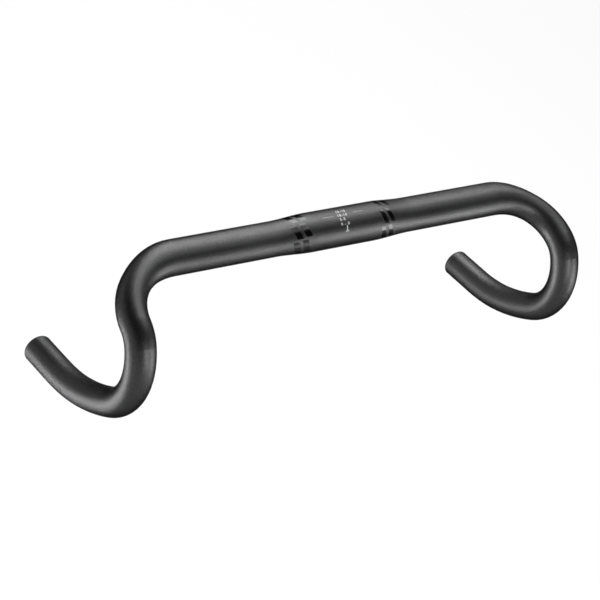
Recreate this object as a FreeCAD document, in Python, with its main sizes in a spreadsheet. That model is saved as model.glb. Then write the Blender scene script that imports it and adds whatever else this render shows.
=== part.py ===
import FreeCAD, Part
import os
import Sketcher

# Drop handlebar for a road bicycle: one bent aluminium tube and an expanding plug in each end.
# The origin is the middle of the stem clamp zone: +X to the rider's right, +Y forward, +Z up.
# Every length is in millimetres and every angle in degrees.

doc = FreeCAD.newDocument("DropHandlebar")
sheet = doc.addObject("Spreadsheet::Sheet", "Sizes")

sizes = [
    # The stem clamp zone and the shoulders beside it.
    ("clampDiameter", 31.8),
    ("clampLength", 61.0),
    ("clampWall", 2.4),
    ("shoulderLength", 35.5),
    # The flattened tops, deeper fore and aft than they are high.
    ("topsDepth", 29.0),
    ("topsHeight", 25.0),
    ("topsWall", 1.9),
    ("topsAngle", 8.6),
    # The corner from the tops to the hoods, in two arcs that share a right angle.
    ("hoodWidth", 420.0),
    ("cornerRadius", 56.5),
    ("cornerAngle", 45.0),
    ("hoodRadius", 44.0),
    # The round drop, as arcs that follow each other round the hook.
    ("dropDiameter", 23.8),
    ("dropWall", 1.7),
    ("leanAngle", 2.1),
    ("crownRadius", 26.5),
    ("crownAngle", 35.7),
    ("hookRadius", 49.3),
    ("hookAngle", 84.9),
    ("heelRadius", 165.0),
    ("heelAngle", 13.6),
    ("gripRadius", 129.0),
    ("gripAngle", 16.3),
    ("gripStraight", 31.5),
    # The end cap: a flange flush with the tube and a spigot inside it.
    ("flangeThickness", 2.3),
    ("rimRound", 0.7),
    ("spigotLength", 5.0),
    ("spigotClearance", 0.12),
    # The countersunk plug screw, an M5 with an 0.8 mm pitch and a hexagon socket.
    ("screwDiameter", 5.0),
    ("screwLength", 29.7),
    ("screwTip", 0.6),
    ("headDiameter", 9.2),
    ("headDepth", 0.25),
    ("headRim", 0.3),
    ("socketWidth", 3.0),
    ("socketDepth", 2.0),
    ("holeClearance", 0.25),
    ("headClearance", 0.2),
    # The rubber sleeve and the cone nut that spreads it.
    ("sleeveLength", 14.0),
    ("sleeveClearance", 0.05),
    ("nutSeat", 5.7),
    ("nutSmallDiameter", 8.4),
    ("nutLargeDiameter", 16.8),
    ("nutTaper", 10.0),
    ("nutRim", 2.0),
    ("nutClearance", 0.1),
    ("threadClearance", 0.06),
]
for row, (name, value) in enumerate(sizes, start=1):
    sheet.set(f"A{row}", name)
    sheet.set(f"B{row}", str(value))
    sheet.setAlias(f"B{row}", name)
doc.recompute()


def cell(name):
    return f"Sizes.{name}"


def shift(x="0", y="0", z="0"):
    return f"placement(vector({x}; {y}; {z}); rotation(vector(0; 0; 1); 0))"


def turn(axis, angle):
    vectors = {"x": "vector(1; 0; 0)", "y": "vector(0; 1; 0)", "z": "vector(0; 0; 1)",
               "xyz": "vector(1; 1; 1)"}
    return f"placement(vector(0; 0; 0); rotation({vectors[axis]}; {angle}))"


def chain(*steps):
    return " * ".join(steps)


def place(item, *steps):
    item.setExpression("Placement", chain(*steps))


clampHalf = f"({cell('clampLength')} / 2)"
clampRadius = f"({cell('clampDiameter')} / 2)"
dropRadius = f"({cell('dropDiameter')} / 2)"
topsHalfDepth = f"({cell('topsDepth')} / 2)"
topsHalfHeight = f"({cell('topsHeight')} / 2)"
boreRadius = f"({dropRadius} - {cell('dropWall')})"

# The tops and the corner lie in a plane that falls forward by the ramp angle.
rampFrame = turn("x", f"-1 * {cell('topsAngle')}")
cornerSine = f"sin({cell('cornerAngle')})"
cornerCosine = f"cos({cell('cornerAngle')})"
cornerStart = (f"({cell('hoodWidth')} / 2 - {cell('cornerRadius')} * {cornerSine}"
               f" - {cell('hoodRadius')} * (1 - {cornerSine}))")
cornerReach = (f"({cell('cornerRadius')} * (1 - {cornerCosine})"
               f" + {cell('hoodRadius')} * {cornerCosine})")
topsStart = f"({clampHalf} + {cell('shoulderLength')})"

hookArcs = [("crown", "crownRadius", "crownAngle"), ("hook", "hookRadius", "hookAngle"),
            ("heel", "heelRadius", "heelAngle"), ("grip", "gripRadius", "gripAngle")]


def hookChain(count, side):
    """The placement steps to the centre of the arc numbered count, on one side of the bar."""
    first = cell(hookArcs[0][1])
    steps = [rampFrame, shift(f"{side} * {cell('hoodWidth')} / 2", cornerReach),
             turn("y", f"{-side} * (90 + {cell('leanAngle')})"), shift(f"{-side} * {first}")]
    for (_, radius, angle), (_, nextRadius, _) in zip(hookArcs[:count], hookArcs[1:]):
        steps.append(turn("z", f"{side} * {cell(angle)}"))
        steps.append(shift(f"{side} * ({cell(radius)} - {cell(nextRadius)})"))
    return steps


def gripChain(side):
    """The placement steps to the end of the last arc, with Y running on along the grip."""
    _, radius, angle = hookArcs[-1]
    return hookChain(len(hookArcs) - 1, side) + [turn("z", f"{side} * {cell(angle)}"),
                                                 shift(f"{side} * {cell(radius)}")]


def plugChain(side):
    """The placement steps to the outer face of an end cap, with Z running into the tube."""
    return gripChain(side) + [shift("0", f"{cell('gripStraight')} + {cell('flangeThickness')}"),
                              turn("x", "90")]


def ovalRing(name, depth, height, *steps):
    ring = doc.addObject("Part::Ellipse", name)
    ring.setExpression("MajorRadius", depth)
    ring.setExpression("MinorRadius", height)
    place(ring, *steps, turn("xyz", "120"))
    return ring


def loftOf(name, rings, ruled=False):
    loft = doc.addObject("Part::Loft", name)
    loft.Sections = rings
    loft.Solid = True
    loft.Ruled = ruled
    return loft


def blend(start, end, share):
    """A value between two others that leaves both of them level."""
    eased = share * share * (3 - 2 * share)
    return f"({start} + ({end} - {start}) * {eased:.6f})"


def tubeSolid(name, wallClamp, wallTops, wallDrop):
    """The whole bar as a solid, drawn in by a wall at the clamp, the tops and the drops."""
    middle = f"({clampRadius} - {wallClamp})"
    depth = f"({topsHalfDepth} - {wallTops})"
    height = f"({topsHalfHeight} - {wallTops})"
    drop = f"({dropRadius} - {wallDrop})"

    clamp = doc.addObject("Part::Cylinder", f"{name}Clamp")
    clamp.setExpression("Radius", middle)
    clamp.setExpression("Height", cell("clampLength"))
    place(clamp, rampFrame, shift(f"-1 * {clampHalf}"), turn("y", "90"))

    shoulderRings = []
    for step in range(7):
        share = step / 6
        where = shift(f"{clampHalf} + {cell('shoulderLength')} * {share:.6f}")
        shoulderRings.append(ovalRing(f"{name}Shoulder{step}", blend(middle, depth, share),
                                      blend(middle, height, share), rampFrame, where))
    shoulder = loftOf(f"{name}Shoulder", shoulderRings)

    topsRings = []
    for label, where in (("Inner", topsStart), ("Outer", cornerStart)):
        topsRings.append(ovalRing(f"{name}Tops{label}", depth, height, rampFrame, shift(where)))
    tops = loftOf(f"{name}Tops", topsRings, ruled=True)

    cornerRings = []
    for step in range(9):
        share = step / 8
        where = [rampFrame, shift(cornerStart, cell("cornerRadius")),
                 turn("z", f"{cell('cornerAngle')} * {share:.6f}"),
                 shift("0", f"-1 * {cell('cornerRadius')}")]
        cornerRings.append(ovalRing(f"{name}Corner{step}", blend(depth, drop, share),
                                    blend(height, drop, share), *where))
    corner = loftOf(f"{name}Corner", cornerRings)

    hood = doc.addObject("Part::Torus", f"{name}Hood")
    hood.setExpression("Radius1", cell("hoodRadius"))
    hood.setExpression("Radius2", drop)
    hood.setExpression("Angle3", f"90 - {cell('cornerAngle')}")
    place(hood, rampFrame, shift(f"{cell('hoodWidth')} / 2 - {cell('hoodRadius')}", cornerReach),
          turn("z", f"{cell('cornerAngle')} - 90"))

    pieces = [shoulder, tops, corner, hood]
    for count, (label, radius, angle) in enumerate(hookArcs):
        arc = doc.addObject("Part::Torus", f"{name}{label.capitalize()}")
        arc.setExpression("Radius1", cell(radius))
        arc.setExpression("Radius2", drop)
        arc.setExpression("Angle3", cell(angle))
        place(arc, *hookChain(count, 1))
        pieces.append(arc)

    straight = doc.addObject("Part::Cylinder", f"{name}Straight")
    straight.setExpression("Radius", drop)
    straight.setExpression("Height", cell("gripStraight"))
    place(straight, *gripChain(1), turn("x", "-90"))
    pieces.append(straight)

    half = doc.addObject("Part::MultiFuse", f"{name}Half")
    half.Shapes = pieces
    other = doc.addObject("Part::Mirroring", f"{name}Mirror")
    other.Source = half
    other.Normal = FreeCAD.Vector(1, 0, 0)
    other.Base = FreeCAD.Vector(0, 0, 0)
    whole = doc.addObject("Part::MultiFuse", f"{name}Whole")
    whole.Shapes = [clamp, half, other]
    return whole


def originPlane(body, role):
    return [item for item in body.Origin.OriginFeatures if item.Role == role][0]


def profileSketch(body, name, points):
    """A closed profile of (radius, depth) corners, each bound to the sheet, beside the Z axis."""
    sketch = body.newObject("Sketcher::SketchObject", name)
    sketch.AttachmentSupport = (originPlane(body, "XZ_Plane"), "")
    sketch.MapMode = "FlatFace"
    values = [(sheet.evalExpression(across) if across else 0.0, sheet.evalExpression(along))
              for across, along in points]
    corners = [FreeCAD.Vector(float(across), float(along), 0) for across, along in values]
    for index, start in enumerate(corners):
        sketch.addGeometry(Part.LineSegment(start, corners[(index + 1) % len(corners)]), False)
    for index in range(len(corners)):
        sketch.addConstraint(Sketcher.Constraint("Coincident", index, 2,
                                                 (index + 1) % len(corners), 1))
    for index, (across, along) in enumerate(points):
        if across:
            spot = sketch.addConstraint(Sketcher.Constraint("DistanceX", -1, 1, index, 1,
                                                            corners[index].x))
            sketch.setExpression(f"Constraints[{spot}]", across)
        else:
            sketch.addConstraint(Sketcher.Constraint("PointOnObject", index, 1, -2))
        spot = sketch.addConstraint(Sketcher.Constraint("DistanceY", -1, 1, index, 1,
                                                        corners[index].y))
        sketch.setExpression(f"Constraints[{spot}]", along)
    return sketch


def turnedBody(name, points, steps):
    """A turned piece, from a profile revolved about its own axis."""
    body = doc.addObject("PartDesign::Body", name)
    body.Label = name
    sketch = profileSketch(body, f"{name}_profile", points)
    solid = body.newObject("PartDesign::Revolution", f"{name}_turned")
    solid.Profile = sketch
    solid.ReferenceAxis = (sketch, ["V_Axis"])
    solid.Angle = 360.0
    body.Tip = solid
    place(body, *steps)
    doc.recompute()
    return body


outer = tubeSolid("Skin", "0", "0", "0")
inner = tubeSolid("Bore", cell("clampWall"), cell("topsWall"), cell("dropWall"))
tube = doc.addObject("Part::Cut", "handlebar_tube")
tube.Label = "handlebar_tube"
tube.Base = outer
tube.Tool = inner
parts = [tube]

spigotEnd = f"({cell('flangeThickness')} + {cell('spigotLength')})"
spigotRadius = f"({boreRadius} - {cell('spigotClearance')})"
screwRadius = f"({cell('screwDiameter')} / 2)"
holeRadius = f"({screwRadius} + {cell('holeClearance')})"
headRadius = f"({cell('headDiameter')} / 2)"
sinkRadius = f"({headRadius} + {cell('headClearance')})"
headStart = f"({cell('headDepth')} + {cell('headRim')})"
headEnd = f"({headStart} + {headRadius} - {screwRadius})"
sinkEnd = f"({headStart} + {sinkRadius} - {holeRadius})"
screwEnd = f"({cell('headDepth')} + {cell('screwLength')})"
sleeveEnd = f"({spigotEnd} + {cell('sleeveLength')})"
sleeveRadius = f"({boreRadius} - {cell('sleeveClearance')})"
nutStart = f"({spigotEnd} + {cell('nutSeat')})"
nutSmall = f"({cell('nutSmallDiameter')} / 2)"
nutLarge = f"({cell('nutLargeDiameter')} / 2)"
nutShoulder = f"({nutStart} + {cell('nutTaper')})"
nutEnd = f"({nutShoulder} + {cell('nutRim')})"
threadRadius = f"({screwRadius} + {cell('threadClearance')})"
nutSlope = f"(({nutLarge} - {nutSmall}) / {cell('nutTaper')})"
mouthSmall = f"({nutSmall} + {cell('nutClearance')})"
mouthLarge = f"({mouthSmall} + {nutSlope} * ({sleeveEnd} - {nutStart}))"

capProfile = [
    (sinkRadius, "0"),
    (f"{dropRadius} - {cell('rimRound')}", "0"),
    (dropRadius, cell("rimRound")),
    (dropRadius, cell("flangeThickness")),
    (spigotRadius, cell("flangeThickness")),
    (spigotRadius, spigotEnd),
    (holeRadius, spigotEnd),
    (holeRadius, sinkEnd),
    (sinkRadius, headStart),
]
sleeveProfile = [
    (mouthSmall, spigotEnd),
    (sleeveRadius, spigotEnd),
    (sleeveRadius, sleeveEnd),
    (mouthLarge, sleeveEnd),
    (mouthSmall, nutStart),
]
nutProfile = [
    (threadRadius, nutStart),
    (nutSmall, nutStart),
    (nutLarge, nutShoulder),
    (nutLarge, nutEnd),
    (threadRadius, nutEnd),
]
screwProfile = [
    ("", cell("headDepth")),
    (headRadius, cell("headDepth")),
    (headRadius, headStart),
    (screwRadius, headEnd),
    (screwRadius, f"{screwEnd} - {cell('screwTip')}"),
    (f"{screwRadius} - {cell('screwTip')}", screwEnd),
    ("", screwEnd),
]

for sideName, side in (("right", 1), ("left", -1)):
    steps = plugChain(side)
    parts.append(turnedBody(f"{sideName}_end_cap", capProfile, steps))
    parts.append(turnedBody(f"{sideName}_expander_sleeve", sleeveProfile, steps))
    parts.append(turnedBody(f"{sideName}_cone_nut", nutProfile, steps))
    screw = turnedBody(f"{sideName}_plug_screw", screwProfile, steps)

    # The hexagon socket goes into the head from its outer face.
    socket = screw.newObject("Sketcher::SketchObject", f"{sideName}_socket")
    socket.AttachmentSupport = (originPlane(screw, "XY_Plane"), "")
    socket.MapMode = "FlatFace"
    ring = float(sheet.evalExpression(f"{cell('socketWidth')} / sqrt(3)"))
    tips = []
    for step in range(6):
        angle = FreeCAD.Rotation(FreeCAD.Vector(0, 0, 1), 60 * step)
        tips.append(angle.multVec(FreeCAD.Vector(ring, 0, 0)))
    for step in range(6):
        socket.addGeometry(Part.LineSegment(tips[step], tips[(step + 1) % 6]), False)
    guide = socket.addGeometry(Part.Circle(FreeCAD.Vector(0, 0, 0), FreeCAD.Vector(0, 0, 1), ring),
                               True)
    socket.addConstraint(Sketcher.Constraint("Coincident", guide, 3, -1, 1))
    spot = socket.addConstraint(Sketcher.Constraint("Diameter", guide, 2 * ring))
    socket.setExpression(f"Constraints[{spot}]", f"2 * {cell('socketWidth')} / sqrt(3)")
    for step in range(6):
        socket.addConstraint(Sketcher.Constraint("Coincident", step, 2, (step + 1) % 6, 1))
        socket.addConstraint(Sketcher.Constraint("PointOnObject", step, 1, guide))
    for step in range(5):
        socket.addConstraint(Sketcher.Constraint("Equal", step, step + 1))
    socket.addConstraint(Sketcher.Constraint("PointOnObject", 0, 1, -1))
    solidBefore = screw.Shape.Volume
    pocket = screw.newObject("PartDesign::Pocket", f"{sideName}_socket_cut")
    pocket.Profile = socket
    pocket.Reversed = True
    pocket.setExpression("Length", f"{cell('headDepth')} + {cell('socketDepth')}")
    screw.Tip = pocket
    doc.recompute()
    if not screw.Shape.Volume < solidBefore:
        raise RuntimeError(f"the socket of {screw.Label} cuts nothing")
    parts.append(screw)

doc.recompute()

for item in doc.Objects:
    if "Invalid" in item.State or "Error" in item.State:
        raise RuntimeError(f"{item.Name} is {item.State}")
for part in parts:
    if part.Shape.isNull() or not part.Shape.isValid():
        raise RuntimeError(f"{part.Label} has no valid shape")
    if len(part.Shape.Solids) != 1:
        raise RuntimeError(f"{part.Label} is {len(part.Shape.Solids)} solids")

os.makedirs("parts", exist_ok=True)
for part in parts:
    part.Shape.exportStep(f"parts/{part.Label}.step")
    box = part.Shape.BoundBox
    print(f"{part.Label}: volume {part.Shape.Volume:.0f}, x {box.XMin:.1f} to {box.XMax:.1f},"
          f" y {box.YMin:.1f} to {box.YMax:.1f}, z {box.ZMin:.1f} to {box.ZMax:.1f}")
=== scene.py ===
import math

import bmesh
import bpy
from mathutils import Matrix, Vector


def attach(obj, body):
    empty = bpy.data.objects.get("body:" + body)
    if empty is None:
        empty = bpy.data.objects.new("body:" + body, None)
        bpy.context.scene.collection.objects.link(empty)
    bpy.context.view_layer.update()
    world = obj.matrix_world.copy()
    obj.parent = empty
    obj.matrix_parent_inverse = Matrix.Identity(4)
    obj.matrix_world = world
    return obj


# A drop handlebar with its two bar-end plugs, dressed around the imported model.
# Metres; the origin is the middle of the stem clamp, +X to the rider's right, +Y forward, +Z up.

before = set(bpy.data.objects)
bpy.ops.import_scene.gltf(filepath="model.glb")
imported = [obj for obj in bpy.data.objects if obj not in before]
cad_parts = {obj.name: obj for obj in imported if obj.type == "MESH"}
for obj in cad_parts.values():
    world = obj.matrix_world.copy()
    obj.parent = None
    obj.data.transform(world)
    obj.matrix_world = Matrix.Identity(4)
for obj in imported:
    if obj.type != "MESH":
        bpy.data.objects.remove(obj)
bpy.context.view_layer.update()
print("frame loaded:", sorted(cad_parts))

scene = bpy.context.scene
scene.view_settings.view_transform = "Standard"
fullTurn = 2 * math.pi


class Wire:
    # a socket or a number that can be written in sums, in any kind of node tree
    def __init__(self, tree, value):
        self.tree = tree
        self.value = value

    def join(self, operation, *others):
        node = self.tree.nodes.new("ShaderNodeMath")
        node.operation = operation
        for slot, item in enumerate((self,) + others):
            item = item.value if isinstance(item, Wire) else item
            if isinstance(item, (int, float)):
                node.inputs[slot].default_value = item
            else:
                self.tree.links.new(item, node.inputs[slot])
        return Wire(self.tree, node.outputs[0])

    def __add__(self, other):
        return self.join("ADD", other)

    def __sub__(self, other):
        return self.join("SUBTRACT", other)

    def __mul__(self, other):
        return self.join("MULTIPLY", other)

    def __truediv__(self, other):
        return self.join("DIVIDE", other)

    def __radd__(self, other):
        return Wire(self.tree, float(other)).join("ADD", self)

    def __rsub__(self, other):
        return Wire(self.tree, float(other)).join("SUBTRACT", self)

    def __abs__(self):
        return self.join("ABSOLUTE")

    def above(self, edge, soft):
        # 0 below the edge, 1 above it, over a soft width
        return ((self - (edge - soft / 2)) / soft).clamp()

    def below(self, edge, soft):
        return 1 - self.above(edge, soft)

    def between(self, low, high, soft):
        return self.above(low, soft) * self.below(high, soft)

    def clamp(self):
        return self.join("MAXIMUM", 0.0).join("MINIMUM", 1.0)

    def greater(self, other):
        return self.join("MAXIMUM", other)

    def sine(self):
        return self.join("SINE")

    def waves(self, length):
        # a sine that repeats over this length
        return (self * (fullTurn / length)).sine()


class Bench:
    # a node tree and the way nodes are put into it
    def __init__(self, tree):
        self.tree = tree

    def plug(self, socket, value):
        value = value.value if isinstance(value, Wire) else value
        if isinstance(value, bpy.types.NodeSocket):
            self.tree.links.new(value, socket)
        else:
            socket.default_value = value

    def node(self, kind, **sockets):
        made = self.tree.nodes.new(kind)
        for name, value in sockets.items():
            self.plug(made.inputs[name.replace("_", " ")], value)
        return made

    def wire(self, socket):
        return Wire(self.tree, socket)

    def split(self, vector):
        parts = self.node("ShaderNodeSeparateXYZ", Vector=vector)
        return [self.wire(parts.outputs[axis]) for axis in "XYZ"]


class Finish(Bench):
    # one material and its nodes
    def __init__(self, name):
        self.material = bpy.data.materials.new(name)
        self.material.use_nodes = True
        super().__init__(self.material.node_tree)
        self.tree.nodes.clear()
        self.place = self.node("ShaderNodeTexCoord").outputs["Object"]

    def noise(self, scale, detail=2.0, roughness=0.5):
        made = self.node("ShaderNodeTexNoise", Vector=self.place, Scale=scale, Detail=detail,
                         Roughness=roughness)
        return self.wire(made.outputs["Fac"])

    def mix(self, share, first, second):
        # the sockets of a colour mix are its share, 0, and its two colours, 6 and 7
        made = self.node("ShaderNodeMix")
        made.data_type = "RGBA"
        for slot, item in ((0, share), (6, first), (7, second)):
            self.plug(made.inputs[slot], item)
        return made.outputs[2]

    def bump(self, height, strength, distance):
        return self.node("ShaderNodeBump", Height=height, Strength=strength,
                         Distance=distance).outputs["Normal"]

    def surface(self, **sockets):
        shader = self.node("ShaderNodeBsdfPrincipled", **sockets)
        self.node("ShaderNodeOutputMaterial", Surface=shader.outputs[0])
        return self.material


def grey(level):
    return (level, level, level, 1.0)


def sway(noises, shares):
    # noises lie round 0.5; this adds up how far each is from it
    return sum((noise - 0.5) * share for noise, share in zip(noises, shares))


sides = ("right", "left")

# the middle of a plug's outer face, and the way into the tube, on the right side
plugLine = {
    "face": (0.215135, -0.0262, -0.137673),
    "inward": (-0.018044, 0.934155, 0.356411),
}


def plugAxes(finish):
    # how deep a place is in its plug, and how far it stands from the plug's own axis
    x, y, z = finish.split(finish.place)
    offset = [place - start for place, start in zip((abs(x), y, z), plugLine["face"])]
    depth = sum(part * way for part, way in zip(offset, plugLine["inward"]))
    square = sum(part * part for part in offset)
    radius = (square - depth * depth).greater(0.0).join("SQRT")
    return depth, radius


# in the finishes below, a noise is its scale to the metre, its detail and its roughness, and
# shares say how strongly the noises show, in the order in which they are listed

blackAnodising = {
    "dark": (0.028, 0.028, 0.0285, 1.0),
    "light": (0.070, 0.070, 0.0705, 1.0),
    "rim": 0.15,               # how much light the surface gives back at a grazing look
    "roughness": 0.40,
    "cloud": (18.0, 3.0),      # slow change of tone along the tube
    "peel": (1250.0, 2.0, 0.6),    # blasted dimples
    "grain": (4200.0, 1.0),    # fine tooth between them
    "toneShares": (0.5, 1.8, 1.2),
    "roughShares": (0.06, 0.10),
    "reliefShares": (0.6, 0.25),   # peel and grain
    "relief": 0.00018,
}


def makeBlackAnodising(look):
    finish = Finish("blackAnodising")
    cloud, peel, grain = (finish.noise(*look[name]) for name in ("cloud", "peel", "grain"))
    tone = sway((cloud, peel, grain), look["toneShares"]) + 0.5
    colour = finish.mix(tone.clamp(), look["dark"], look["light"])
    rough = look["roughness"] + sway((cloud, peel), look["roughShares"])
    peelShare, grainShare = look["reliefShares"]
    normal = finish.bump(peel * peelShare + grain * grainShare, 1.0, look["relief"])
    return finish.surface(Base_Color=colour, Roughness=rough, Metallic=1.0, Normal=normal,
                          Specular_Tint=grey(look["rim"]))


capPlastic = {
    "dark": (0.009, 0.009, 0.0095, 1.0),
    "light": (0.021, 0.021, 0.0215, 1.0),
    "roughness": 0.58,
    "specular": 0.3,
    "spark": (2600.0, 2.0, 0.65),  # spark-eroded mould texture
    "flow": (220.0, 2.0),
    "toneShares": (1.6, 0.6),
    "roughShares": (0.25, 0.12),
    "ringEvery": 0.0011,       # turning marks left by the mould insert
    "ringShare": 0.06,
    "bump": 0.6,
    "relief": 0.00014,
}


def makeCapPlastic(look):
    finish = Finish("capPlastic")
    radius = plugAxes(finish)[1]
    spark, flow = (finish.noise(*look[name]) for name in ("spark", "flow"))
    tone = sway((spark, flow), look["toneShares"]) + 0.5
    colour = finish.mix(tone.clamp(), look["dark"], look["light"])
    rough = look["roughness"] + sway((spark, flow), look["roughShares"])
    height = spark + radius.waves(look["ringEvery"]) * look["ringShare"]
    return finish.surface(Base_Color=colour, Roughness=rough,
                          Normal=finish.bump(height, look["bump"], look["relief"]),
                          Specular_IOR_Level=look["specular"])


sleeveRubber = {
    "dark": (0.018, 0.018, 0.018, 1.0),
    "light": (0.040, 0.039, 0.038, 1.0),
    "roughness": 0.82,
    "bloom": (300.0, 4.0),
    "tooth": (3200.0, 2.0),
    "roughShares": (0.2,),
    "bump": 0.5,
    "relief": 0.00005,
}


def makeSleeveRubber(look):
    finish = Finish("sleeveRubber")
    bloom, tooth = (finish.noise(*look[name]) for name in ("bloom", "tooth"))
    colour = finish.mix(bloom, look["dark"], look["light"])
    rough = look["roughness"] + sway((bloom,), look["roughShares"])
    return finish.surface(Base_Color=colour, Roughness=rough,
                          Normal=finish.bump(tooth, look["bump"], look["relief"]))


nutBrass = {
    "bright": (0.66, 0.46, 0.17, 1.0),
    "dull": (0.34, 0.21, 0.08, 1.0),
    "roughness": 0.30,
    "stain": (420.0, 4.0, 0.6),
    "stainSpread": (1.8, 0.5), # contrast, and how much of the brass stays bright
    "roughShares": (0.3,),
    "turnEvery": 0.00022,      # lathe lines
    "turnSlope": 0.4,          # how they run over the cone
    "bump": 0.3,
    "relief": 0.00001,
}


def makeNutBrass(look):
    finish = Finish("nutBrass")
    depth, radius = plugAxes(finish)
    turned = (depth + radius * look["turnSlope"]).waves(look["turnEvery"])
    stain = finish.noise(*look["stain"])
    contrast, bright = look["stainSpread"]
    colour = finish.mix((stain * contrast - bright).clamp(), look["bright"], look["dull"])
    rough = look["roughness"] + sway((stain,), look["roughShares"])
    return finish.surface(Base_Color=colour, Roughness=rough, Metallic=1.0,
                          Normal=finish.bump(turned, look["bump"], look["relief"]))


screwSteel = {
    "oxide": (0.030, 0.030, 0.032, 1.0),
    "worn": (0.24, 0.235, 0.23, 1.0),
    "roughness": 0.34,
    "speck": (1500.0, 3.0, 0.6),
    "roughShares": (0.25,),
    "turnEvery": 0.00018,
    "thread": (0.0060, 0.0294, 0.0004),    # from and to along the shank, and its run-out
    "pitch": 0.0008,
    "shank": (0.0026, 0.0001), # a radius, or a level, and how softly it ends
    "headEdge": (0.0045, 0.0006),
    "edgeSpecks": (0.42, 0.2),
    "crest": (0.75, 0.3),
    "wear": (0.7, 0.5),        # how far the head's edge and the crests have rubbed bright
    "fineShare": 0.01,         # tooling marks, beside a thread of 1
    "speckShare": 1.5,
    "bump": 0.7,
    "relief": 0.0002,
}


def makeScrewSteel(look):
    finish = Finish("screwSteel")
    depth, radius = plugAxes(finish)
    shank = depth.between(*look["thread"]) * radius.below(*look["shank"])
    thread = depth.waves(look["pitch"]) * shank
    speck = finish.noise(*look["speck"])
    edge = radius.above(*look["headEdge"]) * speck.above(*look["edgeSpecks"])
    crest = thread.above(*look["crest"]) * speck
    edgeWear, crestWear = look["wear"]
    colour = finish.mix((edge * edgeWear).greater(crest * crestWear),
                        look["oxide"], look["worn"])
    rough = look["roughness"] + sway((speck,), look["roughShares"])
    fine = (radius.waves(look["turnEvery"]) + speck * look["speckShare"]) * look["fineShare"]
    height = fine * (1 - shank) + thread
    return finish.surface(Base_Color=colour, Roughness=rough, Metallic=1.0,
                          Normal=finish.bump(height, look["bump"], look["relief"]))


glossLacquer = {
    "dark": (0.028, 0.028, 0.0285, 1.0),
    "light": (0.042, 0.042, 0.0425, 1.0),
    "rim": 0.3,
    "roughness": 0.17,
    "peel": (900.0, 2.0),
    "fleck": (3800.0, 2.0),
    "roughShares": (0.10,),
    "bump": 0.4,
    "relief": 0.00004,
}


def makeGlossLacquer(look):
    finish = Finish("glossLacquer")
    peel, fleck = (finish.noise(*look[name]) for name in ("peel", "fleck"))
    colour = finish.mix(fleck, look["dark"], look["light"])
    rough = look["roughness"] + sway((peel,), look["roughShares"])
    return finish.surface(Base_Color=colour, Roughness=rough, Metallic=1.0,
                          Specular_Tint=grey(look["rim"]),
                          Normal=finish.bump(peel, look["bump"], look["relief"]))


whiteInk = {
    "full": (0.74, 0.74, 0.73),
    "thin": (0.38, 0.38, 0.38),
    "strengths": {"whiteInk": 1.0, "faintInk": 0.28},
    "roughness": 0.48,
    "weave": (5200.0, 2.0),    # the printing screen's own weave
    "patch": (700.0, 3.0),
    "patchSpread": (1.4, 0.35),    # contrast, and how much of the ink stays full
    "weaveShares": (0.5,),
    "roughShares": (0.2,),
    "bump": 0.3,
    "relief": 0.00002,
}


def makeInk(name, look):
    finish = Finish(name)
    weave, patch = (finish.noise(*look[kind]) for kind in ("weave", "patch"))
    contrast, full = look["patchSpread"]
    thin = (patch * contrast - full + sway((weave,), look["weaveShares"])).clamp()
    strength = look["strengths"][name]
    tones = ([level * strength for level in look[tone]] + [1.0] for tone in ("full", "thin"))
    rough = look["roughness"] + sway((patch,), look["roughShares"])
    return finish.surface(Base_Color=finish.mix(thin, *tones), Roughness=rough,
                          Normal=finish.bump(weave, look["bump"], look["relief"]))


finishFor = {
    "handlebar_tube": makeBlackAnodising(blackAnodising),
    "end_cap": makeCapPlastic(capPlastic),
    "expander_sleeve": makeSleeveRubber(sleeveRubber),
    "cone_nut": makeNutBrass(nutBrass),
    "plug_screw": makeScrewSteel(screwSteel),
}
glossFinish = makeGlossLacquer(glossLacquer)
inks = {name: makeInk(name, whiteInk) for name in whiteInk["strengths"]}

for nodeName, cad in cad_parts.items():
    side, _, piece = nodeName.partition("_")
    cad.data.materials.clear()
    cad.data.materials.append(finishFor[piece if side in sides else nodeName])
print("finishes made")


creaseAngle = 35.0             # degrees; a sharper edge than this stays sharp


def softenFaces(mesh):
    mesh.shade_smooth()
    mesh.set_sharp_from_angle(angle=math.radians(creaseAngle))


def stand(name, mesh, finish):
    # puts a finished mesh in the scene, on the handlebar's own body
    mesh.materials.clear()
    mesh.materials.append(finish)
    piece = bpy.data.objects.new(name, mesh)
    scene.collection.objects.link(piece)
    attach(piece, "handlebar")


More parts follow.
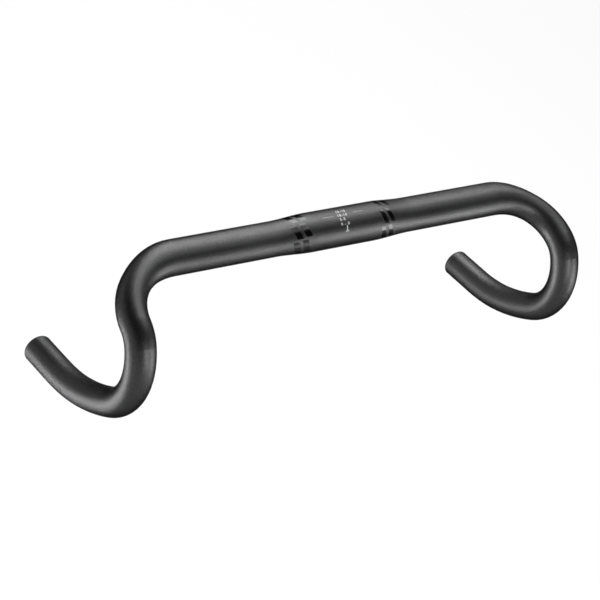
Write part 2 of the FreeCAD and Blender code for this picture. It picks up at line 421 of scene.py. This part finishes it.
class Growth(Bench):
    # one Geometry Nodes tree, with a named input for each size
    def __init__(self, name, finish, sizes):
        super().__init__(bpy.data.node_groups.new(name, "GeometryNodeTree"))
        self.tree.interface.new_socket("Geometry", in_out="OUTPUT",
                                       socket_type="NodeSocketGeometry")
        kinds = {int: "NodeSocketInt", float: "NodeSocketFloat"}
        self.name = name
        self.sizes = {"Finish": finish, **sizes}
        self.named = {}
        for label, value in self.sizes.items():
            kind = kinds.get(type(value), "NodeSocketMaterial")
            made = self.tree.interface.new_socket(label, in_out="INPUT", socket_type=kind)
            self.named[label] = made.identifier
        self.entry = self.node("NodeGroupInput")
        self.exit = self.node("NodeGroupOutput")

    def size(self, label):
        return self.wire(self.entry.outputs[label])

    def place(self):
        # the three coordinates of a point of the mesh
        return self.split(self.node("GeometryNodeInputPosition").outputs[0])

    def number(self):
        return self.wire(self.node("GeometryNodeInputIndex").outputs[0])

    def slab(self, across, along):
        # a unit slab with this many points each way, two of them through it
        return self.node("GeometryNodeMeshCube", Size=(1.0, 1.0, 1.0), Vertices_X=across,
                         Vertices_Y=along, Vertices_Z=2).outputs["Mesh"]

    def point(self, x, y, z):
        return self.node("ShaderNodeCombineXYZ", X=x, Y=y, Z=z).outputs[0]

    def move(self, geometry, x, y, z):
        return self.node("GeometryNodeSetPosition", Geometry=geometry,
                         Position=self.point(x, y, z)).outputs[0]

    def grow(self, geometry):
        # ends the tree, runs it once and gives the result as a plain mesh
        joined = self.node("GeometryNodeRealizeInstances", Geometry=geometry).outputs[0]
        painted = self.node("GeometryNodeSetMaterial", Geometry=joined,
                            Material=self.size("Finish")).outputs[0]
        self.tree.links.new(painted, self.exit.inputs[0])
        seed = self.name + "_seed"
        holder = bpy.data.objects.new(seed, bpy.data.meshes.new(seed))
        scene.collection.objects.link(holder)
        modifier = holder.modifiers.new("grow", "NODES")
        modifier.node_group = self.tree
        for label, value in self.sizes.items():
            modifier[self.named[label]] = value
        bpy.context.view_layer.update()
        grown = holder.evaluated_get(bpy.context.evaluated_depsgraph_get())
        mesh = bpy.data.meshes.new_from_object(grown)
        mesh.polygons.foreach_set("material_index", [0] * len(mesh.polygons))
        softenFaces(mesh)
        holder.modifiers.clear()
        bpy.data.objects.remove(holder)
        return mesh


skinEdge = 0.1                 # a unit slab's upper half lies above its middle by more than this

clampZone = {
    "radius": 0.0159,          # half sizes of the tube at the clamp and on the tops
    "topsDepth": 0.0145,
    "topsHeight": 0.0125,
    "end": 0.0305,             # where the round clamp ends, and the shoulder's length
    "shoulder": 0.0355,
    "tilt": 8.6,               # degrees that the tops' oval falls to the front
}

glossBars = {
    "around": 7,               # bars round the tube
    "rowsAcross": 2,
    "first": 76.6,             # degrees from the front, in the tilted oval
    "stagger": 3.5,
    "length": 0.0118,          # round the tube
    "slant": -0.0040,          # how far a bar leans along the tube over its length
    "rise": 0.00003,           # how far it stands out of the tube, and reaches into it
    "sink": 0.00020,
    "points": (12, 30),        # points of a bar, across it and along it
    "bands": {
        # middle of the band along the tube, width of a bar, step from bar to bar
        "right_gloss_bars": (0.0460, 0.0054, 0.0082),
        "left_gloss_bars": (-0.0382, 0.0042, 0.0070),
    },
}


def easeShoulder(along, clamp, tops):
    # a half size of the tube, level over the clamp and over the tops and eased between them
    share = ((abs(along) - clampZone["end"]) / clampZone["shoulder"]).clamp()
    eased = share * share * (3 - share * 2)
    return clamp + eased * (tops - clamp)


def makeGlossBars(name, middle, width, step, look):
    growth = Growth(name, glossFinish, {
        "Around": look["around"], "Rows": look["rowsAcross"], "Middle": middle,
        "Width": width, "Step": step, "Length": look["length"], "Slant": look["slant"],
        "First": math.radians(look["first"]), "Stagger": math.radians(look["stagger"]),
        "Rise": look["rise"], "Sink": look["sink"]})
    rows = growth.size("Rows")
    number = growth.number()
    row = number.join("MODULO", rows)
    station = (number / rows).join("FLOOR")
    # each bar starts as a slab that carries its angle and its place along the tube as offsets
    spots = growth.node("GeometryNodePoints", Count=rows * growth.size("Around"),
                        Position=growth.point(
                            (row - (rows - 1) / 2) * growth.size("Step"),
                            station * fullTurn / growth.size("Around")
                            - row * growth.size("Stagger"), 0.0)).outputs[0]
    across, around, skin = growth.place()
    shaped = growth.move(growth.slab(*look["points"]),
                         across * growth.size("Width") - around * growth.size("Slant"),
                         around * growth.size("Length") / clampZone["radius"], skin)
    flat = growth.node("GeometryNodeInstanceOnPoints", Points=spots,
                       Instance=shaped).outputs[0]
    loose = growth.node("GeometryNodeRealizeInstances", Geometry=flat).outputs[0]
    along, turn, skin = growth.place()
    along = along + growth.size("Middle")
    angle = turn + growth.size("First")
    top = skin.above(0.0, skinEdge)
    lift = growth.size("Rise") * top - growth.size("Sink") * (1 - top)
    depth = easeShoulder(along, clampZone["radius"], clampZone["topsDepth"]) + lift
    height = easeShoulder(along, clampZone["radius"], clampZone["topsHeight"]) + lift
    ahead, up = depth * angle.join("COSINE"), height * angle.sine()
    tilt = math.radians(clampZone["tilt"])
    laid = growth.move(loose, along, ahead * math.cos(tilt) + up * math.sin(tilt),
                       up * math.cos(tilt) - ahead * math.sin(tilt))
    # the angle runs upwards from the front and turns the slabs inside out, so they turn back
    outward = growth.node("GeometryNodeFlipFaces", Mesh=laid).outputs[0]
    stand(name, growth.grow(outward), glossFinish)


for bandName, band in glossBars["bands"].items():
    makeGlossBars(bandName, *band, glossBars)
print("gloss bars made")


tiltScale = {
    "radius": clampZone["radius"],
    "rise": 0.00004,           # how far the ink stands out of the clamp, and reaches into it
    "sink": 0.00015,
    "letterHeight": 0.0023,
    "heightShare": 0.7,        # how much of its size a figure of the font stands high
    "spacing": 1.3,
    "extrude": 0.0001,
    "embolden": 0.00002,
    "curveSteps": 3,
    "mergeWithin": 1e-7,
    "cutEvery": 0.0005,        # how finely a flat sheet is cut before it bends
    "rows": [
        # what it says, middle along the tube, degrees round from the front
        ("15-15", 0.0042, 105.0),
        ("10-10", 0.0048, 90.5),
        ("5-5", 0.0060, 77.5),
        ("0 - 0", 0.0047, 63.0),
    ],
    "marks": [
        # name, from and to along the tube, from and to round it in degrees, ink
        ("index_line", 0.0031, 0.0038, 43.5, 58.0, "whiteInk"),
        ("index_foot", 0.0017, 0.0052, 41.0, 42.6, "whiteInk"),
        ("right_hair_line", 0.0132, 0.0240, 91.4, 92.8, "faintInk"),
        ("left_hair_line", -0.0162, -0.0066, 94.0, 95.4, "faintInk"),
    ],
}


def wrapOnClamp(mesh, look):
    # lays a flat sheet of outlines round the clamp, its +X running to the rider's left
    work = bmesh.new()
    work.from_mesh(mesh)
    bmesh.ops.remove_doubles(work, verts=work.verts, dist=look["mergeWithin"])
    low = min(vertex.co.y for vertex in work.verts)
    high = max(vertex.co.y for vertex in work.verts)
    for cut in range(1, int((high - low) / look["cutEvery"]) + 1):
        bmesh.ops.bisect_plane(work, geom=work.verts[:] + work.edges[:] + work.faces[:],
                               plane_co=(0, low + cut * look["cutEvery"], 0),
                               plane_no=(0, 1, 0))
    for vertex in work.verts:
        along, around, height = vertex.co
        angle = around / look["radius"]
        radius = look["radius"] + (look["rise"] if height > 0 else -look["sink"])
        vertex.co = (-along, radius * math.cos(angle), radius * math.sin(angle))
    work.to_mesh(mesh)
    work.free()
    softenFaces(mesh)


def makeScaleRow(name, words, middle, degrees, look):
    curve = bpy.data.curves.new(name, "FONT")
    curve.body = words
    curve.size = look["letterHeight"] / look["heightShare"]
    curve.space_character = look["spacing"]
    curve.align_x = "CENTER"
    curve.align_y = "CENTER"
    curve.extrude = look["extrude"]
    curve.offset = look["embolden"]
    curve.resolution_u = look["curveSteps"]
    row = bpy.data.objects.new(name, curve)
    scene.collection.objects.link(row)
    bpy.context.view_layer.update()
    mesh = bpy.data.meshes.new_from_object(
        row.evaluated_get(bpy.context.evaluated_depsgraph_get()))
    bpy.data.objects.remove(row)
    mesh.transform(Matrix.Translation((-middle, math.radians(degrees) * look["radius"], 0)))
    return mesh


def makeMark(name, start, stop, low, high):
    mesh = bpy.data.meshes.new(name)
    work = bmesh.new()
    bmesh.ops.create_cube(work, size=1.0)
    for vertex in work.verts:
        vertex.co.x = -stop if vertex.co.x < 0 else -start
        vertex.co.y = math.radians(low if vertex.co.y < 0 else high) * tiltScale["radius"]
    work.to_mesh(mesh)
    work.free()
    return mesh


def layInk(name, mesh, ink):
    wrapOnClamp(mesh, tiltScale)
    stand(name, mesh, inks[ink])


for count, (words, middle, degrees) in enumerate(tiltScale["rows"], start=1):
    rowName = f"scale_row_{count}"
    layInk(rowName, makeScaleRow(rowName, words, middle, degrees, tiltScale), "whiteInk")
for markName, *edges, ink in tiltScale["marks"]:
    layInk(markName, makeMark(markName, *edges), ink)
print("tilt scale made")


capRibs = {
    "count": 30,
    "inner": 0.0066,           # ring of ribs on the outer face
    "outer": 0.0094,
    "width": 0.00036,
    "rise": 0.00022,           # how far a rib stands out of the cap, and reaches into it
    "sink": 0.0002,
    "crownNarrower": 0.5,      # share of the width that a rib loses from root to crown
    "endFall": (0.3, 0.6),     # where an end falls away, from tip to middle, and how softly
    "points": (4, 3),
}


def makeCapRibs(side, look):
    name = f"{side}_cap_ribs"
    growth = Growth(name, finishFor["end_cap"], {
        "Count": look["count"], "Inner": look["inner"], "Outer": look["outer"],
        "Width": look["width"], "Rise": look["rise"], "Sink": look["sink"]})
    out, across, up = growth.place()
    top = up.above(0.0, skinEdge)
    # the crown of a rib is narrower than its root and falls away at both ends
    ends = (1 - abs(out) * 2).above(*look["endFall"])
    shaped = growth.move(
        growth.slab(*look["points"]),
        (growth.size("Inner") + growth.size("Outer")) / 2
        + out * (growth.size("Outer") - growth.size("Inner")),
        across * growth.size("Width") * (1 - top * look["crownNarrower"]),
        growth.size("Rise") * top * ends - growth.size("Sink") * (1 - top))
    spots = growth.node("GeometryNodePoints", Count=growth.size("Count")).outputs[0]
    angle = growth.number() * fullTurn / growth.size("Count")
    ring = growth.node("GeometryNodeInstanceOnPoints", Points=spots, Instance=shaped,
                       Rotation=growth.point(0.0, 0.0, angle)).outputs[0]
    mesh = growth.grow(ring)
    outward = -Vector(plugLine["inward"])
    mesh.transform(Matrix.Translation(plugLine["face"])
                   @ outward.to_track_quat("Z", "X").to_matrix().to_4x4())
    if side == "left":
        mesh.transform(Matrix.Scale(-1, 4, (1, 0, 0)))
        mesh.flip_normals()
    stand(name, mesh, finishFor["end_cap"])


for side in sides:
    makeCapRibs(side, capRibs)
print("cap ribs made")


camera = {
    "place": (0.96834, 0.70681, 1.13305),
    "yaw": -125.855,           # degrees from +Y towards +X
    "pitch": -45.663,
    "roll": 32.999,
    "lens": 124.63,
    "sensor": 36.0,
    "clip": (0.05, 50.0),
}


def makeCamera(view):
    yaw, pitch, roll = (math.radians(view[name]) for name in ("yaw", "pitch", "roll"))
    ahead = Vector((math.sin(yaw) * math.cos(pitch), math.cos(yaw) * math.cos(pitch),
                    math.sin(pitch)))
    side = ahead.cross(Vector((0, 0, 1))).normalized()
    top = side.cross(ahead)
    right = side * math.cos(roll) + top * math.sin(roll)
    up = top * math.cos(roll) - side * math.sin(roll)
    data = bpy.data.cameras.new("camera")
    data.lens = view["lens"]
    data.sensor_width = view["sensor"]
    data.clip_start, data.clip_end = view["clip"]
    made = bpy.data.objects.new("camera", data)
    turn = Matrix((right, up, -ahead)).transposed().to_4x4()
    made.matrix_world = Matrix.Translation(view["place"]) @ turn
    scene.collection.objects.link(made)
    scene.camera = made


makeCamera(camera)
print("camera placed")


studio = {
    "floorHeight": -0.72,
    "floorSize": 40.0,
    "floorGrey": 0.8,
    "floorGlow": 0.90,         # how much of the floor that is seen is plain white
    "fill": 0.12,              # light from all round
    "wall": 0.912,             # level of the wall at the floor's edge, and of the ceiling
    "zenith": 0.05,
    "wallFall": (0.36, 0.32),  # middle and width of the fall between them, as a sine
    "lampAim": (0.0, 0.02, -0.05),
    "lamps": [
        # name, direction from the bar, distance, size, power in watts
        ("frontBox", (-0.043, 0.92, 0.391), 1.4, 0.5, 8.8),
        ("leftBox", (-0.72, 0.69, 0.05), 1.4, 0.6, 12.2),
        ("leftTopBox", (-0.686, -0.398, 0.609), 1.4, 0.5, 6.6),
        ("backBox", (-0.29, -0.79, 0.54), 1.4, 0.6, 13.6),
        ("backTopBox", (-0.31, -0.46, 0.83), 1.4, 0.6, 9.4),
        ("topBox", (-0.45, 0.01, 0.89), 1.4, 0.5, 2.4),
        ("leftBackBox", (-0.63, -0.69, 0.35), 1.4, 0.5, 2.4),
        ("leftFrontBox", (-0.50, 0.85, -0.10), 1.4, 0.5, 1.6),
        ("lowBox", (0.73, -0.11, -0.68), 0.8, 0.35, 5.2),
        ("lowSideBox", (0.836, -0.258, -0.484), 0.8, 0.29, 2.6),
    ],
}


def makeLamp(name, direction, distance, size, power):
    data = bpy.data.lights.new(name, "AREA")
    data.shape = "SQUARE"
    data.size = size
    data.energy = power
    lamp = bpy.data.objects.new(name, data)
    away = Vector(direction).normalized()
    lamp.location = away * distance + Vector(studio["lampAim"])
    lamp.rotation_mode = "QUATERNION"
    lamp.rotation_quaternion = away.to_track_quat("Z", "Y")
    lamp.visible_camera = False
    scene.collection.objects.link(lamp)


def seenRays(bench):
    # 1 for the rays that show a thing, straight or in a reflection, 0 for those that light it
    rays = bench.node("ShaderNodeLightPath")
    straight, mirrored, through = (bench.wire(rays.outputs[f"Is {kind} Ray"])
                                   for kind in ("Camera", "Glossy", "Transmission"))
    return straight.greater(mirrored).greater(through)


def makeFloor(look):
    mesh = bpy.data.meshes.new("floor")
    reach, height = look["floorSize"] / 2, look["floorHeight"]
    corners = [(-reach, -reach, height), (reach, -reach, height), (reach, reach, height),
               (-reach, reach, height)]
    mesh.from_pydata(corners, [], [(0, 1, 2, 3)])
    floor = bpy.data.objects.new("floor", mesh)
    scene.collection.objects.link(floor)
    finish = Finish("paleFloor")
    matte = finish.node("ShaderNodeBsdfDiffuse", Color=grey(look["floorGrey"]))
    glow = finish.node("ShaderNodeEmission", Color=grey(1.0), Strength=1.0)
    both = finish.node("ShaderNodeMixShader")
    share = seenRays(finish) * look["floorGlow"]
    for slot, item in enumerate((share, matte.outputs[0], glow.outputs[0])):
        finish.plug(both.inputs[slot], item)
    finish.node("ShaderNodeOutputMaterial", Surface=both.outputs[0])
    mesh.materials.append(finish.material)


def makeWorld(look):
    # the wall of the room is white where it is seen and dims towards the ceiling
    world = bpy.data.worlds.new("studio")
    world.use_nodes = True
    bench = Bench(world.node_tree)
    bench.tree.nodes.clear()
    height = bench.split(bench.node("ShaderNodeTexCoord").outputs["Generated"])[2]
    share = height.below(*look["wallFall"])
    wall = look["zenith"] + share * (look["wall"] - look["zenith"])
    strength = look["fill"] + seenRays(bench) * (wall - look["fill"])
    sky = bench.node("ShaderNodeBackground", Color=grey(1.0), Strength=strength)
    bench.node("ShaderNodeOutputWorld", Surface=sky.outputs[0])
    scene.world = world


for lampSettings in studio["lamps"]:
    makeLamp(*lampSettings)
makeFloor(studio)
makeWorld(studio)
print("studio made")
